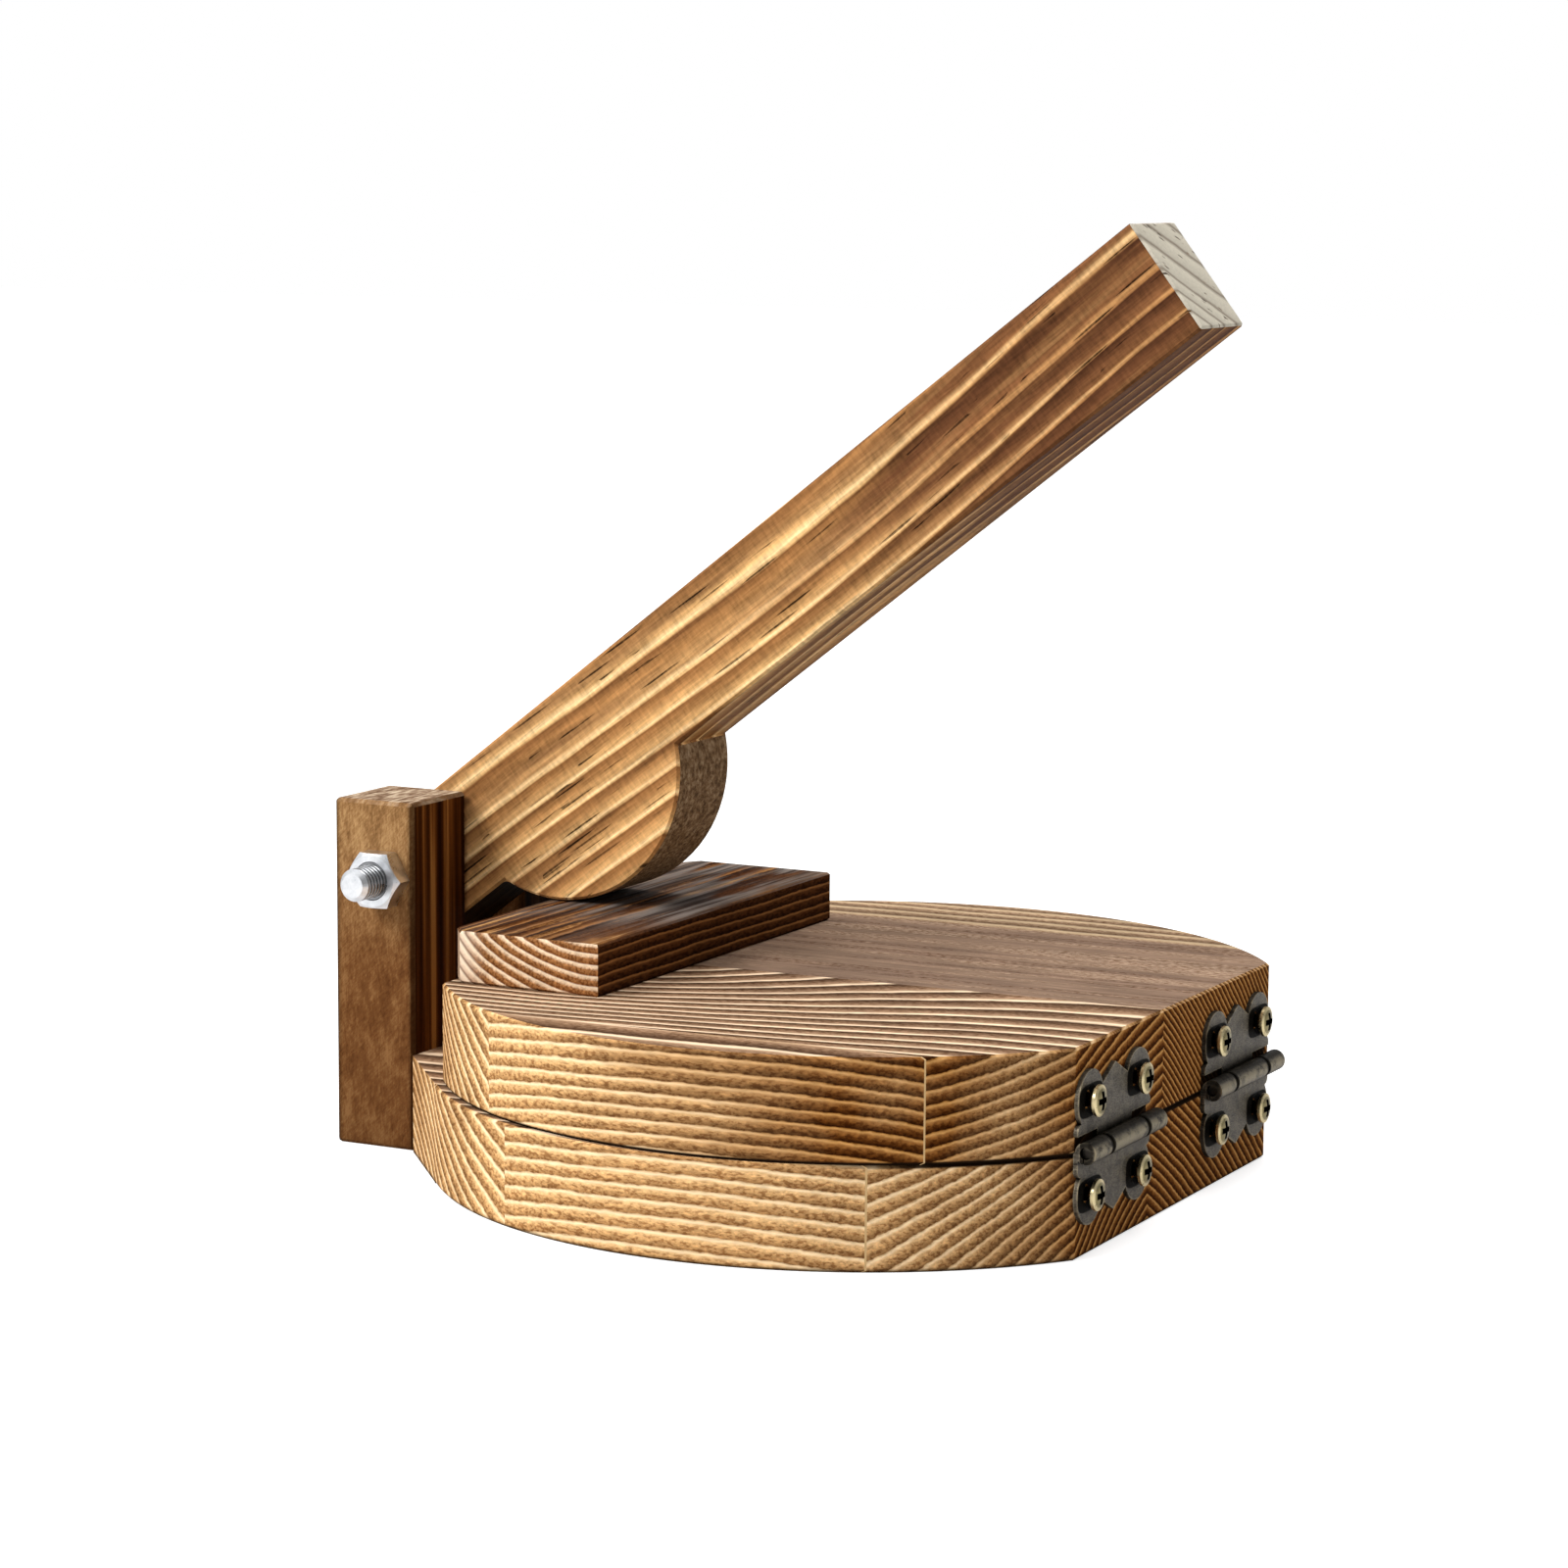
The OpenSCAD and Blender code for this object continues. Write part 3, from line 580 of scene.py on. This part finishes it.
def antique_bronze(name, upper_screws, lower_screws):
    """Dark bronze, rubbed on its edges, and rubbed with a painted highlight on the outside of the knuckles.

    Painted shade darkens the rolled knuckles where they turn in and where they meet, at knuckle_joint
    from the hinge's middle; a painted shadow darkens an oblong round each screw; and dark patina with
    painted shade fills all corners."""
    material, (x, y, z), _ = start_material(name)
    rounded = x.add("Bevel", {"samples": 4}, {"Radius": worn_edge_r / 1000})
    plain = x.add("NewGeometry", {}, {}, "Normal")
    flatness = rounded.add("VectorMath", {"operation": "DOT_PRODUCT"}, {0: rounded, 1: plain}, "Value")
    rub = noise(x / 2, y / 2, z / 2, 4.0, 0.7)
    worn_edge = ((1 - flatness).rise(0.01, 0.12) * rub.rise(0.35, 0.6)).clipped()
    # Rubbed brass with a painted highlight along the outside of the knuckles
    knuckle_wear_highlight = x.rise(pin_x + 1.3, pin_x + knuckle_r) * rub.rise(0.3, 0.55) * 0.7
    brushed = noise(x / 2, y * 1.5, z * 6, 3.0, 0.6)
    color = (rub * 0.5 + brushed * 0.5).rise(0.35, 0.65).blend(patina_bronze, brown_bronze)
    color = (worn_edge * 0.7 + knuckle_wear_highlight).clipped().blend(color, bare_brass)

    low, high = box_mm(upper_screws)
    # Painted shade on the rolled knuckles except their outside, and in the gaps where they meet
    rolled = (x > pin_x - 1) * (abs(z - pin_z) < knuckle_r + 0.3)
    outside = x.rise(pin_x + 1, pin_x + 1.7)
    from_joint = abs(abs(y - (low.y + high.y) / 2) - knuckle_joint)
    lit_and_clean = (1 - rolled * (1 - outside * 0.6) * 0.85) * (1 - rolled * from_joint.rise(1.0, 0.7))
    # A painted shadow, an oblong round each screw
    for screws in (upper_screws, lower_screws):
        low, high = box_mm(screws)
        head_r = (high.z - low.z) / 2
        for axis_y in (low.y + head_r, high.y - head_r):
            sideways = abs(y - axis_y) / screw_shadow_half_width
            upwards = abs(z - (low.z + high.z) / 2) / screw_shadow_half_height
            lit_and_clean = lit_and_clean * (sideways ** 4 + upwards ** 4).rise(0.85, 1.15)
    # Dark patina and painted shade in all corners
    openness = x.add("AmbientOcclusion", {"samples": 8}, {"Distance": corner_reach / 1000}, "AO")
    lit_and_clean = lit_and_clean * openness.rise(0.35, 0.9)
    color = shaded(color, lit_and_clean * 0.95 + 0.05)

    roughness = 0.42 + (rub - 0.5) * 0.3 - knuckle_wear_highlight * 0.2
    relief = noise(x * 4, y * 4, z * 4) + brushed
    sheen = {"Metallic": lit_and_clean * 0.9, "Specular IOR Level": 0.01}
    return finish_material(material, color, roughness, relief, grit_depth, sheen)


def pin_bronze(name):
    """Bronze of a hinge pin, with a rubbed, painted highlight on its upper side."""
    material, (x, y, z), _ = start_material(name)
    rub = noise(x / 2, y / 2, z / 2, 4.0, 0.7)
    upper_highlight = z.rise(pin_z, pin_z + 1.2)
    color = (rub * upper_highlight).blend(pin_patina, pin_highlight)
    return finish_material(material, color, rub * 0.1 + 0.4, rub, grit_depth, {"Metallic": 0.9})


for hinge in ("front_hinge", "rear_hinge"):
    bronze = antique_bronze(f"{hinge}_bronze", f"{hinge}_upper_screws", f"{hinge}_lower_screws")
    for part in ("lower_leaf", "upper_leaf"):
        dress(nodes[f"{hinge}_{part}"], bronze)
    dress(nodes[f"{hinge}_pin"], pin_bronze(f"{hinge}_pin_bronze"))

# Hinge screws: eight raised countersunk screws of antique brass, not driven quite home. The rims
# are rubbed bright, and dark patina is left on the faces and on the shanks. Painted shade darkens
# the cross recesses and the hollows under the heads, and a painted dark cross lies on each face.

face_brass = (0.30, 0.25, 0.12, 1)
rim_brass = (0.84, 0.70, 0.40, 1)
patina_brass = (0.09, 0.065, 0.03, 1)
cross_shade_half_length, cross_shade_half_width = 1.75, 0.62
head_back, head_face = 63.7, 65
recess_shade_reach = 1.2
tarnish_depth = 0.01

leaves = ("front_hinge_lower", "front_hinge_upper", "rear_hinge_lower", "rear_hinge_upper")
screw_pairs = [f"{leaf}_screws" for leaf in leaves]
material, (x, y, z), _ = start_material("antique_brass")
rim = 0
cross = 0
for name in screw_pairs:
    low, high = box_mm(name)
    head_r = (high.z - low.z) / 2
    sideways = abs(abs(y - (low.y + high.y) / 2) - (high.y - low.y) / 2 + head_r)
    upwards = abs(z - (low.z + high.z) / 2)
    radius = (sideways ** 2 + upwards ** 2) ** 0.5
    rim = rim + radius.rise(head_r - 0.75, head_r - 0.35) * radius.rise(head_r + 0.6, head_r + 0.4)
    # A painted dark cross on the face, standing for the shade in its recess
    arm = sideways.math("MAXIMUM", upwards).rise(cross_shade_half_length, cross_shade_half_length - 0.2)
    arm = arm * sideways.math("MINIMUM", upwards).rise(cross_shade_half_width, cross_shade_half_width - 0.14)
    cross = cross + arm * (x > head_face)
tarnish = noise(x, y, z, 4.0, 0.6)
head = x.rise(head_back, head_back + 0.9) * tarnish.rise(0.1, 0.5)
color = head.blend(patina_brass, rim.clipped().blend(face_brass, rim_brass))
# Painted shade in the cross recesses and under the heads
openness = x.add("AmbientOcclusion", {"samples": 8}, {"Distance": recess_shade_reach / 1000}, "AO")
color = shaded(color, (openness.rise(0.45, 0.85) * 0.97 + 0.03) * (1 - cross * 0.96))
roughness = 0.3 + (tarnish - 0.5) * 0.3
brass = finish_material(material, color, roughness, tarnish, tarnish_depth, {"Metallic": 1.0})
for name in screw_pairs:
    dress(nodes[name], brass)

# Studio: a white floor, a large soft light from the front left, a softer one overhead, and a camera
# with a long lens, low on the press's front right.

floor_half = 4.0
floor_mesh = bpy.data.meshes.new("floor")
floor_mesh.from_pydata(
    [(-floor_half, -floor_half, 0), (floor_half, -floor_half, 0), (floor_half, floor_half, 0),
     (-floor_half, floor_half, 0)], [], [(0, 1, 2, 3)]
)
floor = bpy.data.objects.new("floor", floor_mesh)
bpy.context.scene.collection.objects.link(floor)
floor_material = bpy.data.materials.new("white_floor")
floor_material.use_nodes = True
floor_surface = floor_material.node_tree.nodes["Principled BSDF"]
floor_surface.inputs["Base Color"].default_value = (0.72, 0.72, 0.72, 1)
floor_surface.inputs["Roughness"].default_value = 0.9
floor_surface.inputs["Emission Color"].default_value = (1, 1, 1, 1)
floor_path = floor_material.node_tree.nodes.new("ShaderNodeLightPath")
floor_glow = Signal(floor_path.outputs["Is Camera Ray"]) * 0.6
floor_material.node_tree.links.new(floor_glow.socket, floor_surface.inputs["Emission Strength"])
floor_mesh.materials.append(floor_material)

light_aim = Vector((0, 0, 0.05))


def soft_light(name, place, size, power):
    """A round lamp that faces the press."""
    light = bpy.data.lights.new(name, "AREA")
    light.shape = "DISK"
    light.size = size
    light.energy = power
    lamp = bpy.data.objects.new(name, light)
    lamp.location = place
    lamp.rotation_euler = (light_aim - lamp.location).to_track_quat("-Z", "Y").to_euler()
    bpy.context.scene.collection.objects.link(lamp)


soft_light("key_light", (-0.75, -0.85, 0.85), 0.7, 14)
soft_light("top_light", (0.25, 0.1, 1.3), 0.9, 8)

# The room gives more light from the left and from above, and is seen as plain white
world = bpy.data.worlds.new("white_studio")
bpy.context.scene.world = world
world.use_nodes = True
world.node_tree.nodes.clear()
path = world.node_tree.nodes.new("ShaderNodeLightPath")
seen = Signal(path.outputs["Is Camera Ray"])
sky = Signal(world.node_tree.nodes.new("ShaderNodeTexCoord").outputs["Generated"]).split()
left_side = (sky[0] * -0.85 + sky[1] * 0.25 + sky[2] * 0.45).rise(-0.7, 0.6)
room_light = left_side * 0.6 + 0.2
glow = seen * (1 - room_light) + room_light
background = seen.add("Background", {}, {"Color": (1, 1, 1, 1), "Strength": glow})
world_output = world.node_tree.nodes.new("ShaderNodeOutputWorld")
world.node_tree.links.new(background.socket, world_output.inputs["Surface"])

azimuth, elevation, roll = radians(27.38), radians(8.25), radians(0.376)
target = Vector((-0.0146, 0.0001, 0.0689))
distance = 0.7813
lens = 99.38
backward = Vector((sin(azimuth) * cos(elevation), -cos(azimuth) * cos(elevation), sin(elevation)))
level_right = Vector((cos(azimuth), sin(azimuth), 0))
level_up = backward.cross(level_right)
right = level_right * cos(roll) + level_up * sin(roll)
upward = level_up * cos(roll) - level_right * sin(roll)
camera_data = bpy.data.cameras.new("camera")
camera_data.lens = lens
camera_data.sensor_width = 36
camera = bpy.data.objects.new("camera", camera_data)
turn = Matrix((right, upward, backward)).transposed().to_4x4()
camera.matrix_world = Matrix.Translation(target + backward * distance) @ turn
bpy.context.scene.collection.objects.link(camera)
bpy.context.scene.camera = camera
bpy.context.scene.view_settings.view_transform = "Standard"
